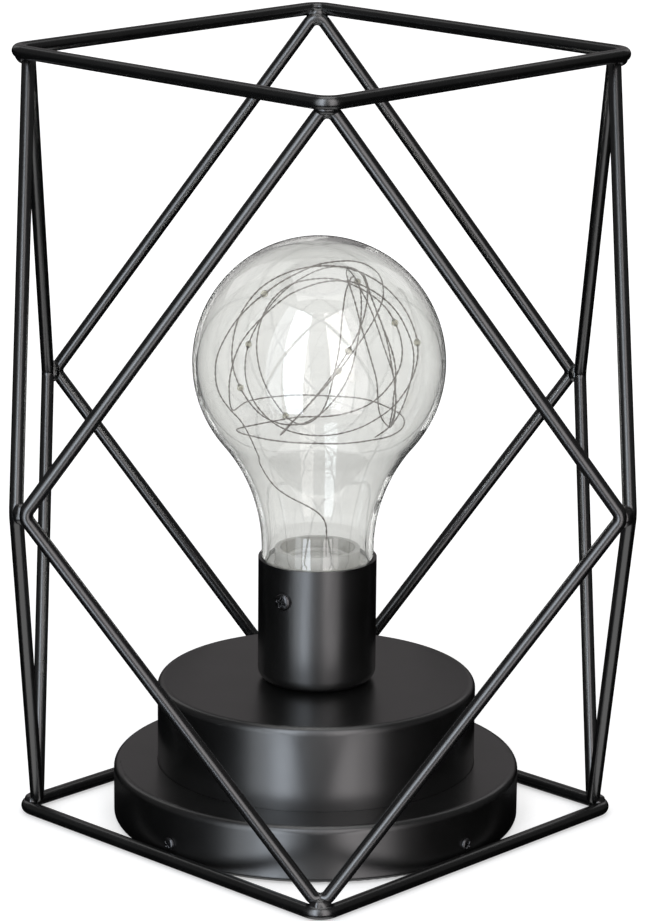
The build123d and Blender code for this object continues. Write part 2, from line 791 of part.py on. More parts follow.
def light_edges():
    """The wire's middle line: a stem that slants out of the plug, then loop on loop inside the globe."""
    collar_top = plug_face_z + plug_collar_h
    root = Vector(light_root_x, light_root_y, plug_under)
    gate = Vector(light_root_x, light_root_y, collar_top + light_stem_rise)
    bend = Vector(light_bend_x, light_bend_y, collar_top + light_bend_z)
    slant = Vector(-cos(radians(light_slant)), 0, sin(radians(light_slant)))
    stem = [Edge.make_line(root, gate)]
    stem += biarc(gate, Vector(0, 0, 1), bend, slant)
    stem += biarc(bend, slant, light_point(light_start), direction(light_point, light_start))
    loops = []
    for step in range(light_loops * light_steps):
        start = max(step / light_steps, light_start)
        loops += smooth_arcs(light_point, start, (step + 1) / light_steps)
    return stem, loops


def light_gap(edges):
    """The least gap between two stretches of the wire of lights, measured on points."""
    points = []
    along = 0.0
    for edge in edges:
        count = max(2, int(edge.length / sample_step))
        for index in range(count):
            points.append((along + edge.length * index / count, edge @ (index / count)))
        along += edge.length
    apart = 10 * light_wire_d  # along the wire, from where on two points count as a pair
    least = 2 * bulb_r
    for index, (here, point) in enumerate(points):
        for there, other in points[index + 1:]:
            if there - here > apart:
                least = min(least, (point - other).length)
    return least - light_wire_d, along


def light_beads(loops):
    """The small lights, spaced evenly along the loops, each a short resin bead round the wire."""
    bead = Cylinder(bead_r, bead_len) - Cylinder(light_wire_d / 2 + bead_play, bead_len)
    path = Wire(loops)
    beads = []
    for index in range(bead_count):
        share = (index + 0.5) / bead_count
        spot = Plane(origin=path @ share, z_dir=path % share)
        beads.append(spot * bead)
    return group(beads)


def lead(points, bend):
    """A stretch of insulated lead along straight runs and arcs."""
    path = FilletPolyline(*points, radius=bend)
    section = Plane(origin=path @ 0, z_dir=path % 0) * RegularPolygon(lead_d / 2, lead_sides)
    return sweep(section, path=path)


def lamp_leads():
    """Two leads from the plug, down through the threaded tube to the board."""
    solids = []
    for side in (-1, 1):
        x = side * lead_pitch / 2
        section = RegularPolygon(lead_d / 2, lead_sides)
        solids.append(Pos(x, 0, board_top) * extrude(section, plug_under - board_top))
    return group(solids)


def battery_leads():
    """Leads from the tags of the two end contacts, over the bay, down to the board."""
    tag_top = bay_top + tag_proud
    over = board_top + lead_rise
    solids = []
    for end in (-1, 1):
        tag_x = end * (bay_len / 2 - contact_t / 2)
        pad_x = end * (board_len / 2 - pad_inset)
        pad_y = end * battery_pad_y
        points = [
            (tag_x, end * cell_pitch, tag_top),
            (tag_x, end * cell_pitch, over),
            (pad_x, pad_y, over),
            (pad_x, pad_y, board_top),
        ]
        solids.append(lead(points, lead_bend))
    return solids


def switch_leads():
    """Leads from the switch's pins, up past the bay, down to the board."""
    pin_top = cover_top + switch_h + switch_pin_h
    turn_z = pin_top + lead_bend + fit
    over = board_top + lead_rise
    past_bay_y = -(bay_w / 2 + bay_wall) - lead_side
    solids = []
    for side in (-1, 1):
        x = side * switch_pin_pitch
        wide_x = side * (boss_r + lead_side)
        pad_y = pad_inset - board_w / 2
        points = [
            (x, switch_y, pin_top),
            (x, switch_y, turn_z),
            (wide_x, past_bay_y, turn_z),
            (wide_x, past_bay_y, over),
            (x, pad_y, over),
            (x, pad_y, board_top),
        ]
        solids.append(lead(points, lead_bend))
    return group(solids)


def cage_nodes():
    """Two rings, four hoops, the welds and the screws that hold the base to the cage."""
    sides = {"front": 0, "right": 90, "back": 180, "left": 270}
    cage_screw = screw(small_tapping, cage_screw_len)
    nodes = {"cage_hoop_" + name: cage_hoop(angle) for name, angle in sides.items()}
    nodes["cage_bottom_ring"] = cage_ring(low_ring_z)
    nodes["cage_top_ring"] = cage_ring(high_ring_z)
    nodes["cage_welds"] = cage_welds()
    nodes["cage_screws"] = group([place * cage_screw for place in cage_screw_places()])
    return nodes


def base_nodes():
    """The two drums, the cover, the door, the pads and their screws."""
    drum_screw = Pos(0, 0, ear_bottom) * screw(tapping, drum_screw_len)
    cover_screw = Pos(0, 0, cover_head_z) * screw(tapping, cover_screw_len)
    return {
        "lower_drum": lower_drum(),
        "upper_drum": upper_drum(),
        "drum_screws": group([place * drum_screw for place in polar(drum_boss_circle, 4)]),
        "base_cover": base_cover(),
        "cover_screws": group([place * cover_screw for place in cover_screw_places()]),
        "rubber_feet": group([place * rod(foot_r, 0, foot_t) for place in foot_places()]),
        "battery_door": battery_door(),
    }


def electric_nodes():
    """The cells and their contacts, the switch, the board and the leads."""
    nodes = {"battery_cell_" + str(index + 1): battery_cell(index) for index in range(3)}
    strips, springs = contacts()
    nodes.update(strips)
    nodes["contact_springs"] = springs
    nodes["switch_body"] = switch_body()
    nodes["switch_knob"] = switch_knob()
    nodes["timer_board"] = timer_board()
    nodes["board_parts"] = board_parts()
    board_screw = Pos(0, 0, board_top) * Rot(180, 0, 0) * screw(small_tapping, board_screw_len)
    nodes["board_screws"] = group([place * board_screw for place in board_post_places()])
    nodes["battery_lead_minus"], nodes["battery_lead_plus"] = battery_leads()
    nodes["switch_leads"] = switch_leads()
    nodes["lamp_leads"] = lamp_leads()
    return nodes


def bulb_nodes():
    """The holder and its screws and tube, the bulb, its plug and the wire of lights."""
    machine_screw = screw(holder_machine, holder_screw_len)
    stem, loops = light_edges()
    gap, length = light_gap(stem + loops)
    print("wire of lights: least gap to itself", round(gap, 2), "mm, length", round(length), "mm")
    return {
        "bulb_holder": bulb_holder(),
        "holder_screws": group([place * machine_screw for place in holder_screw_places()]),
        "holder_nipple": nipple(),
        "nipple_nuts": nipple_nuts(),
        "bulb_envelope": bulb_envelope(),
        "bulb_plug": bulb_plug(),
        "light_wire": round_sweep(stem + loops, light_wire_d / 2),
        "light_beads": light_beads(loops),
    }


def main():
    os.makedirs("parts", exist_ok=True)
    nodes = {**cage_nodes(), **base_nodes(), **electric_nodes(), **bulb_nodes()}
    for name, shape in nodes.items():
        export_step(shape, "parts/" + name + ".step")


main()
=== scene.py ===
import json
import math
import random

import bmesh
import bpy
from mathutils import Matrix, Vector, noise as waves


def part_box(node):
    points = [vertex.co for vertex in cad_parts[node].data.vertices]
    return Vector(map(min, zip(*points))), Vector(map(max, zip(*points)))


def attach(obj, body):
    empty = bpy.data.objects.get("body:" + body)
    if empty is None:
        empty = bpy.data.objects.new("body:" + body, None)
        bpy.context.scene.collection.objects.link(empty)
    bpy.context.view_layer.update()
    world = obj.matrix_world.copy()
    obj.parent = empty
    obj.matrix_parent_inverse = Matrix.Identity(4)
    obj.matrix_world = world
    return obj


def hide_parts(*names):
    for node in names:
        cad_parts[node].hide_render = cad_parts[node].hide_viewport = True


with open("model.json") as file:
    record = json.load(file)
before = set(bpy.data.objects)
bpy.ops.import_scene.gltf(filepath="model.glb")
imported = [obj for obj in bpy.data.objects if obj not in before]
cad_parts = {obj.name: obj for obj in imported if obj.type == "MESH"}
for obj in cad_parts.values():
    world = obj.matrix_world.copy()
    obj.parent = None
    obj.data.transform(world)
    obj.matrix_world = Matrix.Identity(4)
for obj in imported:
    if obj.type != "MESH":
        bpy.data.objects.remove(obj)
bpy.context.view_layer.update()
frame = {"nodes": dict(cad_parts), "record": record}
nodes = frame["nodes"]
MM = 0.001

# The photograph's camera, in millimetres and degrees; the sensor spans the picture's height
CAMERA_DISTANCE = 894.8
CAMERA_AZIMUTH = -1.13
CAMERA_ELEVATION = 15.04
CAMERA_ROLL = 0.51
CAMERA_TARGET = (0.99, 0.0, 88.6)
FOCAL_PIXELS = 3761.0
PHOTO_HEIGHT = 921
SENSOR_MM = 36.0
CLIP_METRES = (0.05, 20.0)

# The lamps: distance and height of their aim in metres, the two elevations that the tall ones
# reach in degrees, and their colours
SOFTBOX_DISTANCE = 1.3
SOFTBOX_AIM_Z = 0.08
TALL = (-33, 59)
COOL = (0.84, 0.91, 1.0)
FAINTLY_COOL = (0.90, 0.95, 1.0)
WARM = (1.0, 0.96, 0.97)
ROSY = (1.0, 0.93, 0.95)
NEUTRAL = (1.0, 1.0, 1.0)

# The world's strength for mirrored rays above and below the horizon, and for diffuse rays
STUDIO_ABOVE = 0.05
STUDIO_BELOW = 0.0
HORIZON_FROM = -0.05
HORIZON_TO = 0.15
STUDIO_FILL = 0.25

# The floor, in metres: its glow at two distances from the lamp, and its contact shadow, painted shade
# that darkens the glow near the lamp
FLOOR_SIZE = 8.0
FLOOR_DROP = 0.0002
FLOOR_DARK = (0.50, 0.50, 0.50)
FLOOR_PALE = (0.54, 0.54, 0.54)
FLOOR_GRAIN = 6.0
FLOOR_GLOW_NEAR = 0.80
FLOOR_GLOW_FAR = 0.95
FLOOR_NEAR = 0.15
FLOOR_FAR = 0.60
CONTACT_SHADOW_REACH = 0.007
CONTACT_SHADOW_LEFT = 0.55

# Optics of the paint and the glass
PAINT_IOR = 1.75
PAINT_ROUGHNESS_SPREAD = 0.015
GLASS_IOR = 1.5
GLASS_COAT_IOR = 1.8
GLASS_COAT_ROUGHNESS = 0.02

# Scales of the materials' noise and of the board's tracks, in cells per metre
PAINT_PATCHES = 90.0
PAINT_DUST = 1500.0
PAINT_WAVES = 60.0
PLASTIC_CLOUDS = 160.0
GLASS_SMEARS = 45.0
GLASS_WAVES = 25.0
FILM_WRINKLES = 120.0
BOARD_TRACKS = 300.0

# Heights of the materials' relief, in millimetres
METAL_MARKS_MM = 0.006
GLASS_WAVES_MM = 0.005
BOARD_TRACKS_MM = 0.03
FILM_WRINKLES_MM = 0.02

# Colours inside the materials
DUST = (0.10, 0.095, 0.09)
MASK_DARK = (0.010, 0.085, 0.035, 1)
MASK_PALE = (0.014, 0.10, 0.045, 1)
MASK_TRACK = (0.03, 0.19, 0.08, 1)
FILM_DARK = (0.13, 0.20, 0.24)
FILM_PALE = (0.18, 0.26, 0.30)
CELL_STEEL = (0.62, 0.61, 0.58)

# Sizes of the model that its nodes' boxes don't give, in millimetres and degrees
GLOBE_R = 30.0
GLASS_WALL = 1.2
SHOULDER = 40.0
NECK_R = 13.4
PLUG_DROP = 0.7
COLLAR_H = 3.2

# Rings on the plug's face: radius, width and height of each; their rounding is a share of the width
PLUG_RINGS = ((6.9, 1.1, 0.9), (1.0, 1.0, 0.5))
PLUG_RING_ROUNDING = 0.3
PLUG_RING_SUNK = 0.05

# Radius of the shank, radius of the head and height of the head of each kind of screw
CAGE_SCREW = (0.8, 1.5, 0.9)
HOLDER_SCREW = (1.1, 2.1, 1.3)
COVER_SCREW = (1.2, 2.4, 1.5)
CAGE_SCREW_LEN = 4.5
HOLDER_SCREW_LEN = 4.6
COVER_SCREW_LEN = 8.0
CAGE_SCREW_ANGLES = (45, 135, 225, 315)
HOLDER_SCREW_ANGLE = 35.0

# The cross recess in shares of the head's radius, its depth and the head's crown in shares of
# the head's height, and the thread in shares of the shank's radius
CROSS_ARM = 0.13
CROSS_REACH = 0.62
CROSS_EDGE = 0.07
CROSS_DEPTH = 0.55
HEAD_CROWN = 0.55
THREAD_PITCH = 0.8
THREAD_ROOT = 0.82
THREAD_TIP = 0.8

# The cone springs; the steps are of one turn and of the flat part of a turn at the wide end
SPRING_R_WIDE = 4.0
SPRING_R_TIP = 2.2
SPRING_WIRE_R = 0.4
SPRING_TURNS = 3
SPRING_SPACE = 3.3
SPRING_STEPS = 40
SPRING_FLAT_STEPS = 30

# The weld beads: their size in shares of the wire's radius, their lumps and ripples in shares of
# that size, and the random numbers that set each bead's own lumps
WELD_R = 1.2
WELD_HALF_LEN = (1.45, 1.8)
WELD_LUMP = 0.10
WELD_LUMP_SCALE = 1.6
WELD_RIPPLE = 0.018
WELD_RIPPLES = 9.0
WELD_SEED = 11
WELD_SEEDS_TO = 50

# The wire of lights, in millimetres, degrees and loops: its five loops are those of the model
LIGHT_WIRE_D = 0.5
LIGHT_LOOPS = 5
LIGHT_CLEAR = 2.4
LIGHT_STEP_IN = 1.35
LIGHT_RISE = 3.0
LIGHT_TURN = 73.0
LIGHT_TILT = 24.0
LIGHT_START_ANGLE = 95.0
LIGHT_START = 0.14
LIGHT_ROOT = (2.0, -3.0)
LIGHT_STEM_RISE = 5.0
LIGHT_BEND = (-9.0, -3.0, 14.5)
LIGHT_SLANT = 36.0
LIGHT_ROOT_DEPTH = 2.0
LIGHT_ARM = 0.36
LIGHT_LOOP_STEP = 0.003
STEM_STEPS = 20
BEND_STEPS = 26
ENTRY_STEPS = 24

# Points of the loose turns past the last loop, from the globe's centre; the wire passes all of them
TANGLE = (
    (-6.0, -1.5, -13.3), (-15.5, -5.0, -14.1), (-19.0, -9.5, -14.3), (-10.0, -18.0, -14.0),
    (5.0, -20.0, -14.3), (17.0, -11.0, -14.6), (20.0, 3.0, -14.1), (12.0, 16.0, -13.7),
    (-3.0, 20.0, -13.3), (-16.0, 12.0, -12.7), (-20.5, -2.0, -11.0), (-21.0, -10.0, -2.0),
    (-17.0, -13.0, 9.0), (-7.0, -12.0, 19.0), (6.0, -9.0, 21.5), (16.0, -6.0, 15.5),
    (22.0, -2.0, 4.0), (20.5, 0.5, -9.0), (16.6, -4.0, -14.5), (17.0, -11.0, -7.0),
    (17.0, -14.0, 4.0), (13.0, -11.0, 15.5), (10.0, 0.0, 21.5), (12.0, 9.5, 15.5),
    (17.0, 12.5, 2.0), (18.5, 6.5, -10.0), (16.9, -3.4, -14.6), (14.0, -13.0, -9.0),
    (12.5, -17.5, 2.0), (9.0, -15.0, 13.5), (6.0, -4.0, 22.0), (8.5, 8.0, 18.5),
    (14.0, 14.0, 6.0), (18.4, 9.5, -7.0), (17.4, -2.0, -13.9), (13.0, -9.0, -15.7),
)
TANGLE_STEPS = 24

# Length and height of the waves of a wire bent by hand, where they start on it, and over what
# length they grow
HAND_WAVES = ((31.0, 0.7), (13.0, 0.35), (6.5, 0.12))
HAND_SEED = 7
HAND_WAVE_START = 8.0
HAND_WAVE_GROWTH = 12.0
HAND_WAVES_APART = 3.7

# The two strands, the resin drops and the lamp chips in them
STRAND_R = 0.11
STRAND_PITCH = 3.4
BEAD_COUNT = 9
BEAD_R = 0.8
BEAD_SIDE = 0.94
BEAD_WAIST = 0.12
BEAD_BLUNTNESS = 0.7
BEAD_HALF_LEN = 1.1
BEAD_STEPS = 12
CHIP = (0.5, 0.28, 0.8)
CHIP_EDGE = 0.06


def box_mm(node):
    """The lowest and highest corners of a CAD node, in millimetres."""
    low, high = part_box(node)
    return low / MM, high / MM


# Material helpers


def new_material(name):
    """An empty node material with a principled shader, and its parts."""
    material = bpy.data.materials.new(name)
    material.use_nodes = True
    tree = material.node_tree
    shader = tree.nodes["Principled BSDF"]
    return material, tree, shader


def add(tree, kind, **settings):
    """A node with its plain settings; inputs are given by name in a dict."""
    node = tree.nodes.new(kind)
    for key, value in settings.items():
        if key == "inputs":
            for socket, number in value.items():
                node.inputs[socket].default_value = number
        else:
            setattr(node, key, value)
    return node


def object_coords(tree, scale=(1, 1, 1)):
    """Object coordinates, stretched along each axis."""
    coords = add(tree, "ShaderNodeTexCoord")
    mapping = add(tree, "ShaderNodeMapping")
    mapping.inputs["Scale"].default_value = scale
    tree.links.new(coords.outputs["Object"], mapping.inputs["Vector"])
    return mapping.outputs["Vector"]


def noise(tree, coords, scale, detail=3.0, roughness=0.5):
    """A noise texture's value."""
    node = add(tree, "ShaderNodeTexNoise", inputs={
        "Scale": scale, "Detail": detail, "Roughness": roughness})
    tree.links.new(coords, node.inputs["Vector"])
    return node.outputs["Fac"]


def spread(tree, value, low, high, from_low=0.3, from_high=0.7):
    """A value mapped onto a range."""
    node = add(tree, "ShaderNodeMapRange", inputs={
        "From Min": from_low, "From Max": from_high, "To Min": low, "To Max": high})
    tree.links.new(value, node.inputs["Value"])
    return node.outputs["Result"]


def between(tree, value, first, second, from_low=0.3, from_high=0.7):
    """A colour between two, by a value."""
    node = add(tree, "ShaderNodeValToRGB")
    node.color_ramp.elements[0].position = from_low
    node.color_ramp.elements[0].color = (*first, 1)
    node.color_ramp.elements[1].position = from_high
    node.color_ramp.elements[1].color = (*second, 1)
    tree.links.new(value, node.inputs["Fac"])
    return node.outputs["Color"]


def calculate(tree, operation, *values):
    """A sum, product or the like of sockets and numbers."""
    node = add(tree, "ShaderNodeMath", operation=operation)
    for socket, value in zip(node.inputs, values):
        if isinstance(value, (int, float)):
            socket.default_value = value
        else:
            tree.links.new(value, socket)
    return node.outputs["Value"]


def blended(tree, factor, first, second):
    """One colour over another, by a factor; each is a colour or a socket."""
    node = add(tree, "ShaderNodeMix", data_type="RGBA")
    tree.links.new(factor, node.inputs["Factor"])
    for socket, value in (("A", first), ("B", second)):
        if isinstance(value, tuple):
            node.inputs[socket].default_value = (*value, 1)
        else:
            tree.links.new(value, node.inputs[socket])
    return node.outputs["Result"]


def shaded(colour, share):
    """A colour made darker or paler, at most white."""
    return tuple(min(1.0, channel * share) for channel in colour)


def bump(tree, shader, height, distance, under=None):
    """Bump of a real height in metres on a shader's normal."""
    node = add(tree, "ShaderNodeBump", inputs={"Distance": distance})
    tree.links.new(height, node.inputs["Height"])
    if under is not None:
        tree.links.new(under, node.inputs["Normal"])
    tree.links.new(node.outputs["Normal"], shader.inputs["Normal"])
    return node.outputs["Normal"]


# Materials


def black_paint(name, base, roughness, grain_mm, grain_height_mm, waviness_mm=0.0):
    """Satin black paint: fine orange peel, faintly patchy colour and gloss, and specks of dust."""
    material, tree, shader = new_material(name)
    coords = object_coords(tree)
    patches = noise(tree, coords, PAINT_PATCHES, detail=4.0)
    specks = noise(tree, coords, PAINT_DUST, detail=2.0)
    colour = between(tree, patches, shaded(base, 0.7), shaded(base, 1.4))
    dust_share = spread(tree, specks, low=0.0, high=0.06, from_low=0.68, from_high=0.8)
    dusty = blended(tree, dust_share, colour, DUST)
    tree.links.new(dusty, shader.inputs["Base Color"])
    low, high = roughness - PAINT_ROUGHNESS_SPREAD, roughness + PAINT_ROUGHNESS_SPREAD
    tree.links.new(spread(tree, patches, low, high), shader.inputs["Roughness"])
    shader.inputs["Specular IOR Level"].default_value = 1.0
    shader.inputs["IOR"].default_value = PAINT_IOR
    peel = noise(tree, coords, 1000.0 / grain_mm, detail=2.0)
    normal = bump(tree, shader, peel, grain_height_mm * MM)
    if waviness_mm:
        swells = noise(tree, coords, PAINT_WAVES, detail=1.0)
        bump(tree, shader, swells, waviness_mm * MM, under=normal)
    return material


def metal(name, base, roughness, marks_scale=900.0, tint=0.15):
    """Plated or bare metal with fine marks."""
    material, tree, shader = new_material(name)
    marks = noise(tree, object_coords(tree), marks_scale, detail=4.0)
    colour = between(tree, marks, shaded(base, 1 - tint), base)
    tree.links.new(colour, shader.inputs["Base Color"])
    shader.inputs["Metallic"].default_value = 1.0
    tree.links.new(spread(tree, marks, roughness * 0.75, roughness * 1.3), shader.inputs["Roughness"])
    bump(tree, shader, marks, METAL_MARKS_MM * MM)
    return material


def plastic(name, base, roughness, grain_scale=2500.0, grain_mm=0.012, clear=0.0):
    """Moulded plastic with a fine grain; clear lets some light through."""
    material, tree, shader = new_material(name)
    coords = object_coords(tree)
    clouds = noise(tree, coords, PLASTIC_CLOUDS, detail=3.0)
    colour = between(tree, clouds, shaded(base, 0.88), shaded(base, 1.08))
    tree.links.new(colour, shader.inputs["Base Color"])
    tree.links.new(spread(tree, clouds, roughness - 0.06, roughness + 0.08), shader.inputs["Roughness"])
    shader.inputs["Transmission Weight"].default_value = clear
    bump(tree, shader, noise(tree, coords, grain_scale, detail=2.0), grain_mm * MM)
    return material


def clear_glass(name, tint, density):
    """Clear bulb glass with a faint grey cast, deeper where the wall is seen edge on. The coat
    strengthens what it mirrors."""
    material, tree, shader = new_material(name)
    coords = object_coords(tree)
    shader.inputs["Base Color"].default_value = (*tint, 1)
    shader.inputs["Transmission Weight"].default_value = 1.0
    shader.inputs["IOR"].default_value = GLASS_IOR
    shader.inputs["Coat Weight"].default_value = 1.0
    shader.inputs["Coat Roughness"].default_value = GLASS_COAT_ROUGHNESS
    shader.inputs["Coat IOR"].default_value = GLASS_COAT_IOR
    smears = noise(tree, coords, GLASS_SMEARS, detail=4.0)
    haze = spread(tree, smears, low=0.0, high=0.05, from_low=0.4, from_high=0.75)
    tree.links.new(haze, shader.inputs["Roughness"])
    bump(tree, shader, noise(tree, coords, GLASS_WAVES, detail=1.0), GLASS_WAVES_MM * MM)
    inside = add(tree, "ShaderNodeVolumeAbsorption", inputs={"Color": (*tint, 1), "Density": density})
    tree.links.new(inside.outputs["Volume"], tree.nodes["Material Output"].inputs["Volume"])
    return material


def circuit_green(name):
    """Solder mask over copper tracks."""
    material, tree, shader = new_material(name)
    coords = object_coords(tree)
    tracks = add(tree, "ShaderNodeTexBrick", offset=0.5, inputs={
        "Color1": MASK_DARK, "Color2": MASK_PALE, "Mortar": MASK_TRACK,
        "Scale": BOARD_TRACKS, "Mortar Size": 0.08, "Brick Width": 1.3, "Row Height": 0.55})
    tree.links.new(coords, tracks.inputs["Vector"])
    tree.links.new(tracks.outputs["Color"], shader.inputs["Base Color"])
    shader.inputs["Roughness"].default_value = 0.3
    bump(tree, shader, tracks.outputs["Fac"], BOARD_TRACKS_MM * MM)
    return material


def cell_film(name):
    """A cell's plain film, slightly wrinkled, with bare steel on its two ends."""
    material, tree, shader = new_material(name)
    coords = add(tree, "ShaderNodeTexCoord")
    normal = add(tree, "ShaderNodeSeparateXYZ")
    tree.links.new(coords.outputs["Normal"], normal.inputs["Vector"])
    end_on = calculate(tree, "ABSOLUTE", normal.outputs["X"])
    bare = calculate(tree, "GREATER_THAN", end_on, 0.9)
    wrinkles = noise(tree, object_coords(tree, (3, 1, 1)), FILM_WRINKLES, detail=3.0)
    film = between(tree, wrinkles, FILM_DARK, FILM_PALE)
    tree.links.new(blended(tree, bare, film, CELL_STEEL), shader.inputs["Base Color"])
    tree.links.new(bare, shader.inputs["Metallic"])
    shader.inputs["Roughness"].default_value = 0.26
    bump(tree, shader, wrinkles, FILM_WRINKLES_MM * MM)
    return material


MATERIALS = {
    "cage_paint": black_paint(
        "satin_black_wire", (0.003, 0.003, 0.003), roughness=0.26, grain_mm=0.35,
        grain_height_mm=0.003),
    "base_paint": black_paint(
        "satin_black_base", (0.0025, 0.0023, 0.0023), roughness=0.30, grain_mm=0.45,
        grain_height_mm=0.004, waviness_mm=0.01),
    "holder_paint": black_paint(
        "satin_black_holder", (0.0025, 0.0023, 0.0023), roughness=0.31, grain_mm=0.4,
        grain_height_mm=0.004),
    "cover_plastic": plastic(
        "spark_grain_black", (0.028, 0.028, 0.029), roughness=0.55, grain_scale=1700.0,
        grain_mm=0.03),
    "screw_black": metal("black_oxide", (0.13, 0.13, 0.135), roughness=0.30),
    "screw_steel": metal("zinc_plate", (0.66, 0.66, 0.63), roughness=0.32),
    "foot_rubber": plastic(
        "foot_rubber", (0.03, 0.03, 0.03), roughness=0.85, grain_scale=900.0, grain_mm=0.05),
    "bulb_clear": clear_glass("clear_bulb", (0.91, 0.912, 0.90), density=420.0),
    "plug_pale": plastic(
        "clear_plug", (0.92, 0.91, 0.88), roughness=0.22, grain_scale=900.0, grain_mm=0.01),
    "wire_tinned": metal("lacquered_wire", (0.34, 0.31, 0.29), roughness=0.35),
    "bead_resin": plastic(
        "clear_resin", (0.90, 0.88, 0.76), roughness=0.12, grain_scale=500.0, grain_mm=0.02,
        clear=0.85),
    "cell_jacket": cell_film("cell_film"),
    "contact_nickel": metal("nickel_plate", (0.78, 0.76, 0.71), roughness=0.22),
    "switch_steel": metal("tinned_steel", (0.62, 0.62, 0.62), roughness=0.3),
    "knob_plastic": plastic("knob_black", (0.03, 0.03, 0.03), roughness=0.5),
    "board_green": circuit_green("solder_mask"),
    "parts_black": plastic("moulded_black", (0.03, 0.03, 0.033), roughness=0.45),
    "lead_red": plastic("lead_red", (0.50, 0.03, 0.02), roughness=0.4),
    "lead_black": plastic("lead_black", (0.025, 0.025, 0.025), roughness=0.4),
    "lead_white": plastic("lead_white", (0.72, 0.72, 0.70), roughness=0.4),
    "tube_steel": metal("zinc_yellow", (0.62, 0.58, 0.45), roughness=0.3),
}


def dress(piece, slot):
    """Gives a piece the material of its slot."""
    piece.data.materials.clear()
    piece.data.materials.append(MATERIALS[slot])


for subpart in frame["record"]["subparts"]:
    dress(nodes[subpart["node"]], subpart["material_slot"])


# Mesh helpers, which all work in millimetres


def finish_piece(mesh, name, slot, replaced=()):
    """Turns a bmesh in millimetres into a dressed piece that rides on the lamp."""
    bmesh.ops.scale(mesh, vec=(MM, MM, MM), verts=mesh.verts)
    bmesh.ops.recalc_face_normals(mesh, faces=mesh.faces)
    data = bpy.data.meshes.new(name)
    mesh.to_mesh(data)
    mesh.free()
    data.polygons.foreach_set("use_smooth", [True] * len(data.polygons))
    piece = bpy.data.objects.new(name, data)
    bpy.context.scene.collection.objects.link(piece)
    dress(piece, slot)
    if replaced:
        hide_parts(*replaced)
    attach(piece, "lamp")
    return piece


def stitch(mesh, rings, close_ends=False, close_loop=False):
    """Faces between rings of vertices; a ring of one repeated vertex is a pole."""
    count = len(rings[0])
    pairs = list(zip(rings, rings[1:]))
    if close_loop:
        pairs.append((rings[-1], rings[0]))
    for first, second in pairs:
        for index in range(count):
            after = (index + 1) % count
            corners = []
            for vertex in (first[index], first[after], second[after], second[index]):
                if vertex not in corners:
                    corners.append(vertex)
            if len(corners) > 2:
                mesh.faces.new(corners)
    if close_ends:
        mesh.faces.new(list(reversed(rings[0])))
        mesh.faces.new(rings[-1])


def lathe(mesh, outline, segments=96, place=Matrix(), close_loop=True):
    """A solid of revolution about Z from an outline in radius and height."""
    spins = [2 * math.pi * index / segments for index in range(segments)]
    rings = []
    for radius, height in outline:
        if radius == 0:
            rings.append([mesh.verts.new(place @ Vector((0, 0, height)))] * segments)
            continue
        spots = [Vector((radius * math.cos(a), radius * math.sin(a), height)) for a in spins]
        rings.append([mesh.verts.new(place @ spot) for spot in spots])
    stitch(mesh, rings, close_loop=close_loop)


def arc(centre, radius, start, end, count):
    """Points on an arc in radius and height, between two angles in degrees."""
    points = []
    for index in range(count + 1):
        angle = math.radians(start + (end - start) * index / count)
        points.append((centre[0] + radius * math.cos(angle), centre[1] + radius * math.sin(angle)))
    return points


def travel_frames(points):
    """A direction and two steady side directions at each point of a line."""
    frames = []
    side = None
    for index in range(len(points)):
        ahead = points[min(index + 1, len(points) - 1)] - points[max(index - 1, 0)]
        ahead.normalize()
        if side is None:
            side = ahead.orthogonal()
        side = (side - ahead * side.dot(ahead)).normalized()
        frames.append((ahead, side, ahead.cross(side)))
    return frames


def tube(mesh, points, radius, sides=8):
    """A round tube along points, closed at both ends."""
    spins = [2 * math.pi * index / sides for index in range(sides)]
    rings = []
    for point, (_, side, up) in zip(points, travel_frames(points)):
        ways = [side * math.cos(a) + up * math.sin(a) for a in spins]
        rings.append([mesh.verts.new(point + way * radius) for way in ways])
    stitch(mesh, rings, close_ends=True)


# The bulb


def glass_side(globe_r, neck_r, throat_r, centre_z, end_z):
    """One wall of the bulb from the top of the globe down to the neck's end."""
    sine = math.sin(math.radians(SHOULDER))
    join_z = centre_z - globe_r * sine
    throat = (neck_r + throat_r, join_z - throat_r * sine)
    points = [(0.0, centre_z + globe_r)]
    points += arc((0, centre_z), globe_r, start=89, end=-SHOULDER, count=72)
    points += arc(throat, throat_r, start=180 - SHOULDER, end=180, count=24)[1:]
    points.append((neck_r, end_z))
    return points


def make_glass():
    """The clear bulb as one smooth wall of even thickness."""
    low, high = box_mm("bulb_envelope")
    centre_z = high.z - GLOBE_R
    cosine = math.cos(math.radians(SHOULDER))
    throat_r = (GLOBE_R * cosine - NECK_R) / (1 - cosine)
    outer = glass_side(GLOBE_R, NECK_R, throat_r, centre_z, low.z)
    inner = glass_side(GLOBE_R - GLASS_WALL, NECK_R - GLASS_WALL, throat_r + GLASS_WALL, centre_z, low.z)
    mesh = bmesh.new()
    lathe(mesh, outer + inner[::-1], segments=192, close_loop=False)
    finish_piece(mesh, "bulb_glass", "bulb_clear", ["bulb_envelope"])
    return centre_z


def make_plug_rings(plug_face_z):
    """Low moulded rings on the plug's face, inside its collar."""
    mesh = bmesh.new()
    for radius, width, height in PLUG_RINGS:
        inner, outer = radius - width / 2, radius + width / 2
        foot_z = plug_face_z - PLUG_RING_SUNK
        rim_z = plug_face_z + height - width * PLUG_RING_ROUNDING
        outline = [(inner, foot_z), (inner, rim_z)]
        outline += arc((radius, rim_z), width / 2, start=180, end=0, count=6)[1:-1]
        outline += [(outer, rim_z), (outer, foot_z)]
        lathe(mesh, outline, segments=72)
    finish_piece(mesh, "plug_rings", "plug_pale")


# The wire of lights


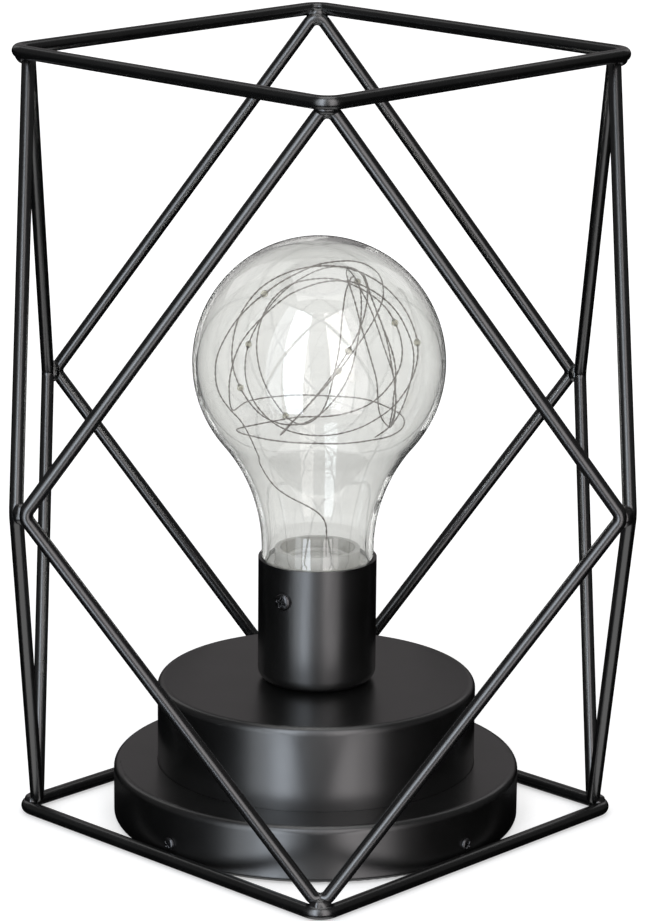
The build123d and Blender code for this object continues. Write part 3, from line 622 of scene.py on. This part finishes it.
def light_point(loops, centre_z):
    """A point on the wire of lights, counted in loops from its first low point."""
    width = GLOBE_R - GLASS_WALL - LIGHT_CLEAR - LIGHT_WIRE_D / 2 - LIGHT_STEP_IN * loops
    height = width - LIGHT_RISE
    spin = math.radians(LIGHT_START_ANGLE + LIGHT_TURN * loops)
    tilt = math.radians(LIGHT_TILT) * math.sin(2 * math.pi * loops / LIGHT_LOOPS)
    normal = Vector((math.cos(spin) * math.cos(tilt), math.sin(spin) * math.cos(tilt), math.sin(tilt)))
    down = Vector((0, 0, -1))
    down = (down - normal * down.dot(normal)).normalized()
    across = normal.cross(down)
    phase = 2 * math.pi * loops
    middle = Vector((0, 0, centre_z + LIGHT_RISE))
    return middle + down * math.cos(phase) * height + across * math.sin(phase) * width


def bezier(start, out, end, into, count):
    """Points on a smooth curve that leaves along one direction and arrives along another."""
    arm = (end - start).length * LIGHT_ARM
    near, far = start + out * arm, end - into * arm
    points = []
    for index in range(count):
        t = index / count
        left = 1 - t
        points.append(
            start * left ** 3 + near * 3 * t * left ** 2 + far * 3 * t * t * left + end * t ** 3)
    return points


def light_route(plug_face_z, centre_z):
    """The wire's middle line, as its stem and its loops."""
    collar_top = plug_face_z + COLLAR_H
    root = Vector((*LIGHT_ROOT, plug_face_z - LIGHT_ROOT_DEPTH))
    gate = Vector((*LIGHT_ROOT, collar_top + LIGHT_STEM_RISE))
    bend = Vector((LIGHT_BEND[0], LIGHT_BEND[1], collar_top + LIGHT_BEND[2]))
    slant = Vector((-math.cos(math.radians(LIGHT_SLANT)), 0, math.sin(math.radians(LIGHT_SLANT))))
    first = light_point(LIGHT_START, centre_z)
    heading = (light_point(LIGHT_START + LIGHT_LOOP_STEP, centre_z) - first).normalized()
    stem = [root.lerp(gate, index / STEM_STEPS) for index in range(STEM_STEPS)]
    stem += bezier(gate, Vector((0, 0, 1)), bend, slant, BEND_STEPS)
    stem += bezier(bend, slant, first, heading, ENTRY_STEPS)
    count = round((LIGHT_LOOPS - LIGHT_START) / LIGHT_LOOP_STEP)
    spots = [LIGHT_START + index * LIGHT_LOOP_STEP for index in range(count + 1)]
    return stem, [light_point(spot, centre_z) for spot in spots]


def tangle_route(globe_centre_z):
    """Loose turns past the last loop, flat over the neck and crowded to the right."""
    knots = [Vector((x, y, globe_centre_z + z)) for x, y, z in TANGLE]
    knots.insert(0, light_point(LIGHT_LOOPS, globe_centre_z))
    points = []
    for index in range(len(knots) - 1):
        before, start, end = knots[max(index - 1, 0)], knots[index], knots[index + 1]
        after = knots[min(index + 2, len(knots) - 1)]
        for step in range(TANGLE_STEPS):
            t = step / TANGLE_STEPS
            points.append(0.5 * (
                2 * start + (end - before) * t + (2 * before - 5 * start + 4 * end - after) * t ** 2
                + (3 * start - before - 3 * end + after) * t ** 3))
    return points[1:] + [knots[-1]]


def hand_bent(points):
    """The same line with the small uneven waves of a wire bent by hand, none at its root."""
    waves.seed_set(HAND_SEED)
    along = 0.0
    bent = []
    for index, point in enumerate(points):
        if index:
            along += (point - points[index - 1]).length
        fade = min(1.0, max(0.0, (along - HAND_WAVE_START) / HAND_WAVE_GROWTH))
        shift = Vector()
        for number, (length, height) in enumerate(HAND_WAVES):
            spot = Vector((along / length, HAND_WAVES_APART * number, 1.3))
            shift += waves.noise_vector(spot) * height
        bent.append(point + shift * fade)
    return bent


def make_light_wire(plug_face_z, centre_z):
    """Two fine lacquered strands twisted into one wire; returns its line along the loops."""
    stem, loops = light_route(plug_face_z, centre_z)
    line = hand_bent(stem + loops + tangle_route(centre_z))
    frames = travel_frames(line)
    mesh = bmesh.new()
    for strand in (0, 1):
        along = 0.0
        points = []
        for index, (point, (_, side, up)) in enumerate(zip(line, frames)):
            if index:
                along += (point - line[index - 1]).length
            turn = 2 * math.pi * along / STRAND_PITCH + math.pi * strand
            points.append(point + (side * math.cos(turn) + up * math.sin(turn)) * STRAND_R)
        tube(mesh, points, STRAND_R, sides=6)
    finish_piece(mesh, "light_strands", "wire_tinned", ["light_wire"])
    return line[len(stem):len(stem) + len(loops)]


def make_light_beads(loop_line):
    """Drops of clear resin on the wire, each with a tiny lamp chip in it."""
    resin, chips = bmesh.new(), bmesh.new()
    lengths = [0.0]
    for first, second in zip(loop_line, loop_line[1:]):
        lengths.append(lengths[-1] + (second - first).length)
    frames = travel_frames(loop_line)
    for number in range(BEAD_COUNT):
        goal = lengths[-1] * (number + 0.5) / BEAD_COUNT
        index = next(i for i, length in enumerate(lengths) if length >= goal)
        ahead, side, up = frames[index]
        turn = Matrix((side, up, ahead)).transposed().to_4x4()
        place = Matrix.Translation(loop_line[index]) @ turn
        outline = [(0.0, -BEAD_HALF_LEN)]
        for step in range(1, BEAD_STEPS):
            t = step / BEAD_STEPS
            belly = 1.0 - BEAD_WAIST * math.cos(2 * math.pi * t)
            bulge = math.sin(math.pi * t) ** BEAD_BLUNTNESS * belly
            outline.append((BEAD_R * BEAD_SIDE * bulge, BEAD_HALF_LEN * (2 * t - 1)))
        outline.append((0.0, BEAD_HALF_LEN))
        lathe(resin, outline, segments=20, place=place, close_loop=False)
        chip = bmesh.ops.create_cube(chips, size=1.0, matrix=place @ Matrix.Diagonal((*CHIP, 1)))
        edges = list(dict.fromkeys(edge for vertex in chip["verts"] for edge in vertex.link_edges))
        bmesh.ops.bevel(chips, geom=edges, offset=CHIP_EDGE, segments=2)
    finish_piece(resin, "light_drops", "bead_resin", ["light_beads"])
    finish_piece(chips, "light_chips", "contact_nickel")


# The cage's welds


def weld_bead(mesh, centre, along, half_len, radius, seed):
    """A lumpy bead of weld metal drawn out along the joint, with the ripples of its making."""
    rows, columns = 22, 28
    turn = along.to_track_quat("X", "Z").to_matrix().to_4x4()
    place = Matrix.Translation(centre) @ turn
    rings = []
    for row in range(rows + 1):
        lean = math.pi * row / rows
        wide = math.sin(lean)
        ring = []
        for column in range(columns):
            spin = 2 * math.pi * column / columns
            way = Vector((math.cos(lean), wide * math.cos(spin), wide * math.sin(spin)))
            lump = 1.0 + WELD_LUMP * waves.noise(way * WELD_LUMP_SCALE + Vector((seed, 0, 0)))
            ripple = 1.0 + WELD_RIPPLE * math.sin(WELD_RIPPLES * lean + seed)
            spot = Vector((way.x * half_len, way.y * radius * ripple, way.z * radius * ripple)) * lump
            ring.append(mesh.verts.new(place @ spot) if column == 0 or 0 < row < rows else ring[0])
        rings.append(ring)
    stitch(mesh, rings)


def make_welds():
    """A bead at each of the twelve joints of the cage."""
    ring_low, ring_high = box_mm("cage_bottom_ring")
    top_high = box_mm("cage_top_ring")[1]
    hoop_low, hoop_high = box_mm("cage_hoop_front")
    wire_r = (ring_high.z - ring_low.z) / 2
    ring_reach = ring_high.y - wire_r
    hoop_plane = -(hoop_low.y + hoop_high.y) / 2
    hoop_side = hoop_high.x - wire_r
    between_y = (ring_reach + hoop_plane) / 2
    low_z = (wire_r + hoop_low.z + wire_r) / 2
    high_z = (top_high.z - wire_r + hoop_high.z - wire_r) / 2
    edge = (hoop_plane + hoop_side) / 2
    middle_z = (hoop_low.z + hoop_high.z) / 2
    joints = (
        (Vector((0, -between_y, low_z)), Vector((1, 0, 0))),
        (Vector((0, -between_y, high_z)), Vector((1, 0, 0))),
        (Vector((edge, -edge, middle_z)), Vector((0, 0, 1))),
    )
    mesh = bmesh.new()
    random.seed(WELD_SEED)
    for quarter in range(4):
        turn = Matrix.Rotation(math.pi / 2 * quarter, 4, "Z")
        for centre, along in joints:
            half_len = wire_r * random.uniform(*WELD_HALF_LEN)
            seed = random.uniform(0, WELD_SEEDS_TO)
            weld_bead(mesh, turn @ centre, turn.to_3x3() @ along, half_len, wire_r * WELD_R, seed)
    finish_piece(mesh, "cage_weld_beads", "cage_paint", ["cage_welds"])


# Screws with a cross recess


def screw_head(mesh, place, head_r, head_h):
    """A pan head towards -Z with a cross recess, over the local origin."""
    rows, columns = 26, 72
    arm_half, arm_reach, soft = head_r * CROSS_ARM, head_r * CROSS_REACH, head_r * CROSS_EDGE
    depth = head_h * CROSS_DEPTH
    spins = [2 * math.pi * column / columns for column in range(columns)]

    def step(value):
        """1 inside an edge of the recess, 0 outside it, with a soft slope between."""
        return min(1.0, max(0.0, value / soft + 0.5))

    rings = []
    for row in range(rows + 1):
        share = row / rows
        ring = []
        for spin in spins:
            x, y = share * head_r * math.cos(spin), share * head_r * math.sin(spin)
            arms = max(
                step(arm_half - abs(x)) * step(arm_reach - abs(y)),
                step(arm_half - abs(y)) * step(arm_reach - abs(x)))
            height = head_h * (1.0 - HEAD_CROWN * share ** 5) - depth * arms
            spot = place @ Vector((x, y, -height))
            ring.append(mesh.verts.new(spot) if row or not ring else ring[0])
        rings.append(ring)
    rim = [Vector((head_r * math.cos(spin), head_r * math.sin(spin), 0)) for spin in spins]
    rings.append([mesh.verts.new(place @ spot) for spot in rim])
    rings.append([mesh.verts.new(place @ Vector((0, 0, 0)))] * columns)
    stitch(mesh, rings)


def screw_shank(mesh, place, shank_r, length):
    """A threaded shank along +Z, drawn as rings with sharp crests."""
    pitch = shank_r * THREAD_PITCH
    outline = [(0.0, 0.0)]
    height = 0.0
    while height < length - pitch:
        outline += [(shank_r * THREAD_ROOT, height), (shank_r, height + pitch / 2)]
        height += pitch
    outline += [(shank_r * THREAD_TIP, height), (0.0, length)]
    lathe(mesh, outline, segments=20, place=place, close_loop=False)


def make_screws(name, replaced, slot, sizes, length, places):
    """All the screws of one kind as one piece."""
    shank_r, head_r, head_h = sizes
    mesh = bmesh.new()
    random.seed(len(name))
    for place in places:
        driven = place @ Matrix.Rotation(random.uniform(0, math.pi / 2), 4, "Z")
        screw_head(mesh, driven, head_r, head_h)
        screw_shank(mesh, driven, shank_r, length)
    finish_piece(mesh, name, slot, [replaced])


def side_place(angle, radius, height):
    """A place on a drum's side whose local +Z points inwards."""
    turn = Matrix.Rotation(math.radians(angle), 4, "Z")
    return turn @ Matrix.Translation((radius, 0, height)) @ Matrix.Rotation(math.radians(-90), 4, "Y")


def make_all_screws():
    """The cage's, the holder's and the cover's screws."""
    cage_low, cage_high = box_mm("cage_screws")
    drum_low, drum_high = box_mm("lower_drum")
    cage_z = (cage_low.z + cage_high.z) / 2
    drum_r = (drum_high.x - drum_low.x) / 2
    places = [side_place(angle, drum_r, cage_z) for angle in CAGE_SCREW_ANGLES]
    make_screws(
        "cage_screw_heads", "cage_screws", "screw_black", CAGE_SCREW, CAGE_SCREW_LEN, places)
    pair_low, pair_high = box_mm("holder_screws")
    holder_low, holder_high = box_mm("bulb_holder")
    holder_z = (pair_low.z + pair_high.z) / 2
    holder_r = (holder_high.x - holder_low.x) / 2
    angles = (-90 - HOLDER_SCREW_ANGLE, 90 - HOLDER_SCREW_ANGLE)
    places = [side_place(angle, holder_r, holder_z) for angle in angles]
    make_screws(
        "holder_screw_heads", "holder_screws", "screw_black", HOLDER_SCREW, HOLDER_SCREW_LEN,
        places)
    low, high = box_mm("cover_screws")
    _, head_r, head_h = COVER_SCREW
    reach_x, reach_y = high.x - head_r, high.y - head_r
    seat = low.z + head_h
    corners = [(x, y, seat) for x in (-reach_x, reach_x) for y in (-reach_y, reach_y)]
    places = [Matrix.Translation(corner) for corner in corners]
    make_screws(
        "cover_screw_heads", "cover_screws", "screw_steel", COVER_SCREW, COVER_SCREW_LEN, places)


# The battery springs


def make_springs():
    """Three cone springs of round wire, each with most of a flat turn at its wide end."""
    mesh = bmesh.new()
    left = box_mm("contact_minus")[1].x
    right = box_mm("contact_bridge_right")[0].x
    springs = (
        ("battery_cell_1", left, 1),
        ("battery_cell_2", right, -1),
        ("battery_cell_3", left, 1),
    )
    for cell, face_x, way in springs:
        low, high = box_mm(cell)
        centre = Vector((face_x, (low.y + high.y) / 2, (low.z + high.z) / 2))
        points = []
        steps = SPRING_STEPS * SPRING_TURNS
        for index in range(-SPRING_FLAT_STEPS, steps + 1):
            turns = max(0, index) / steps * SPRING_TURNS
            rise = (SPRING_SPACE - 2 * SPRING_WIRE_R) * turns / SPRING_TURNS
            radius = SPRING_R_WIDE + (SPRING_R_TIP - SPRING_R_WIDE) * turns / SPRING_TURNS
            spin = 2 * math.pi * index / SPRING_STEPS
            offset = Vector((SPRING_WIRE_R + rise, radius * math.cos(spin), radius * math.sin(spin)))
            points.append(centre + Vector((offset.x * way, offset.y * way, offset.z)))
        tube(mesh, points, SPRING_WIRE_R, sides=12)
    finish_piece(mesh, "spring_coils", "contact_nickel", ["contact_springs"])


# Camera, light and floor


def make_camera():
    """The photograph's camera, from its measured distance, angle and focal length."""
    data = bpy.data.cameras.new("camera")
    data.sensor_width = SENSOR_MM
    data.lens = FOCAL_PIXELS * SENSOR_MM / PHOTO_HEIGHT
    data.clip_start, data.clip_end = CLIP_METRES
    camera = bpy.data.objects.new("camera", data)
    bpy.context.scene.collection.objects.link(camera)
    azimuth, elevation = math.radians(CAMERA_AZIMUTH), math.radians(CAMERA_ELEVATION)
    back = Vector((
        math.sin(azimuth) * math.cos(elevation),
        -math.cos(azimuth) * math.cos(elevation),
        math.sin(elevation)))
    camera.location = (Vector(CAMERA_TARGET) + back * CAMERA_DISTANCE) * MM
    turn = (-back).to_track_quat("-Z", "Y").to_matrix().to_4x4()
    roll = Matrix.Rotation(math.radians(CAMERA_ROLL), 4, "Z")
    camera.matrix_world = Matrix.Translation(camera.location) @ turn @ roll
    bpy.context.scene.camera = camera


def hide_behind_glass(data):
    """Glass still mirrors the lamp, but the lamp itself isn't seen straight through it."""
    data.use_nodes = True
    tree = data.node_tree
    path = add(tree, "ShaderNodeLightPath")
    mirrored = calculate(tree, "GREATER_THAN", path.outputs["Glossy Depth"], 0.5)
    direct = calculate(tree, "SUBTRACT", 1.0, path.outputs["Is Transmission Ray"])
    strength = calculate(tree, "MAXIMUM", mirrored, direct)
    tree.links.new(strength, tree.nodes["Emission"].inputs["Strength"])


def softbox(name, azimuth, low, high, width, radiance, colour=NEUTRAL, through_glass=False):
    """A rectangular lamp that faces the object from an azimuth, between two elevations and with a
    width, all in degrees. Only some lamps are mirrored by the inside of the glass too."""
    data = bpy.data.lights.new(name, "AREA")
    data.shape = "RECTANGLE"
    centre = math.radians((low + high) / 2)
    turn = math.radians(azimuth)
    level = math.cos(centre)
    back = Vector((math.sin(turn) * level, -math.cos(turn) * level, math.sin(centre)))
    data.size = 2 * SOFTBOX_DISTANCE * math.tan(math.radians(width / 2))
    data.size_y = 2 * SOFTBOX_DISTANCE * math.tan(math.radians((high - low) / 2))
    data.energy = radiance * math.pi * data.size * data.size_y
    data.color = colour
    lamp = bpy.data.objects.new(name, data)
    bpy.context.scene.collection.objects.link(lamp)
    lamp.location = Vector((0, 0, SOFTBOX_AIM_Z)) + back * SOFTBOX_DISTANCE
    lamp.rotation_euler = back.to_track_quat("Z", "Y").to_euler()
    lamp.visible_camera = False
    lamp.visible_transmission = through_glass
    if through_glass:
        hide_behind_glass(data)


def ray_share(tree, *kinds):
    """1 for rays of any of these kinds, from the light path."""
    path = add(tree, "ShaderNodeLightPath")
    share = path.outputs[kinds[0]]
    for kind in kinds[1:]:
        share = calculate(tree, "MAXIMUM", share, path.outputs[kind])
    return share


def make_world():
    """A white background for the camera and through glass, a dim even fill for diffuse rays, and
    for mirrored rays a studio that is nearly dark above the horizon and dark below it."""
    world = bpy.data.worlds.new("world")
    bpy.context.scene.world = world
    world.use_nodes = True
    tree = world.node_tree
    background = tree.nodes["Background"]
    background.inputs["Color"].default_value = (1, 1, 1, 1)
    coords = add(tree, "ShaderNodeTexCoord")
    split = add(tree, "ShaderNodeSeparateXYZ")
    tree.links.new(coords.outputs["Generated"], split.inputs["Vector"])
    seen = ray_share(tree, "Is Camera Ray", "Is Transmission Ray")
    fill = calculate(tree, "MULTIPLY", ray_share(tree, "Is Diffuse Ray"), STUDIO_FILL)
    mirrored = calculate(
        tree, "MULTIPLY", ray_share(tree, "Is Glossy Ray"),
        spread(tree, split.outputs["Z"], STUDIO_BELOW, STUDIO_ABOVE, HORIZON_FROM, HORIZON_TO))
    strength = calculate(tree, "MAXIMUM", calculate(tree, "MAXIMUM", seen, fill), mirrored)
    tree.links.new(strength, background.inputs["Strength"])
    world.cycles.sampling_method = "NONE"


def make_floor():
    """A pale floor that looks white to the camera and through glass, keeps the lamp's soft shadow and is
    see-through from below. Near the lamp its glow is darkened by ambient occlusion, a painted
    contact shadow. The tall lamps reach below its level, so it casts no shadow of its own and
    isn't mirrored in the black paint."""
    bpy.ops.mesh.primitive_plane_add(size=FLOOR_SIZE, location=(0, 0, -FLOOR_DROP))
    floor = bpy.context.object
    floor.name = "floor"
    floor.visible_glossy = False
    floor.visible_shadow = False
    material, tree, shader = new_material("pale_floor")
    grain = noise(tree, object_coords(tree), FLOOR_GRAIN, detail=2.0)
    tree.links.new(between(tree, grain, FLOOR_DARK, FLOOR_PALE), shader.inputs["Base Color"])
    shader.inputs["Roughness"].default_value = 1.0
    shader.inputs["Specular IOR Level"].default_value = 0.0
    away = add(tree, "ShaderNodeVectorMath", operation="LENGTH")
    tree.links.new(object_coords(tree), away.inputs[0])
    glow_here = spread(
        tree, away.outputs["Value"], FLOOR_GLOW_NEAR, FLOOR_GLOW_FAR, FLOOR_NEAR, FLOOR_FAR)
    # Ambient occlusion darkens the glow close to the lamp: a painted contact shadow, cast by no lamp
    nearby = add(
        tree, "ShaderNodeAmbientOcclusion", samples=8, inputs={"Distance": CONTACT_SHADOW_REACH})
    painted_shadow_share = spread(tree, nearby.outputs["AO"], CONTACT_SHADOW_LEFT, 1.0, 0.0, 1.0)
    seen = ray_share(tree, "Is Camera Ray", "Is Transmission Ray")
    strength = calculate(tree, "MULTIPLY", calculate(tree, "MULTIPLY", glow_here, painted_shadow_share), seen)
    glow = add(tree, "ShaderNodeEmission", inputs={"Color": (1, 1, 1, 1)})
    tree.links.new(strength, glow.inputs["Strength"])
    both = add(tree, "ShaderNodeAddShader")
    tree.links.new(shader.outputs["BSDF"], both.inputs[0])
    tree.links.new(glow.outputs["Emission"], both.inputs[1])
    side = add(tree, "ShaderNodeNewGeometry")
    shown = add(tree, "ShaderNodeMixShader")
    tree.links.new(side.outputs["Backfacing"], shown.inputs["Fac"])
    tree.links.new(both.outputs["Shader"], shown.inputs[1])
    tree.links.new(add(tree, "ShaderNodeBsdfTransparent").outputs["BSDF"], shown.inputs[2])
    tree.links.new(shown.outputs["Shader"], tree.nodes["Material Output"].inputs["Surface"])
    floor.data.materials.append(material)


globe_z = make_glass()
plug_z = box_mm("bulb_holder")[1].z - PLUG_DROP
make_plug_rings(plug_z)
make_light_beads(make_light_wire(plug_z, globe_z))
make_welds()
make_all_screws()
make_springs()

make_camera()
make_world()
make_floor()
softbox("left_softbox", -24, *TALL, width=19, radiance=3.0, colour=COOL, through_glass=True)
softbox("left_reflector", -42, *TALL, width=15, radiance=1.1, colour=FAINTLY_COOL)
softbox("front_reflector", -4, *TALL, width=20, radiance=0.35)
softbox("right_softbox", 20, *TALL, width=22, radiance=1.5, colour=WARM, through_glass=True)
softbox("right_reflector", 37, *TALL, width=12, radiance=0.9, colour=WARM)
softbox("top_softbox", 0, 72, 108, width=36, radiance=1.0)
softbox("table_bounce", 0, -115, -65, width=50, radiance=0.6)
softbox("back_softbox", 180, 4, 40, width=80, radiance=0.17, colour=ROSY)
softbox("back_left_softbox", -140, 20, 60, width=16, radiance=0.4)
softbox("back_right_softbox", 140, 20, 60, width=16, radiance=0.4)

bpy.context.scene.view_settings.view_transform = "Standard"
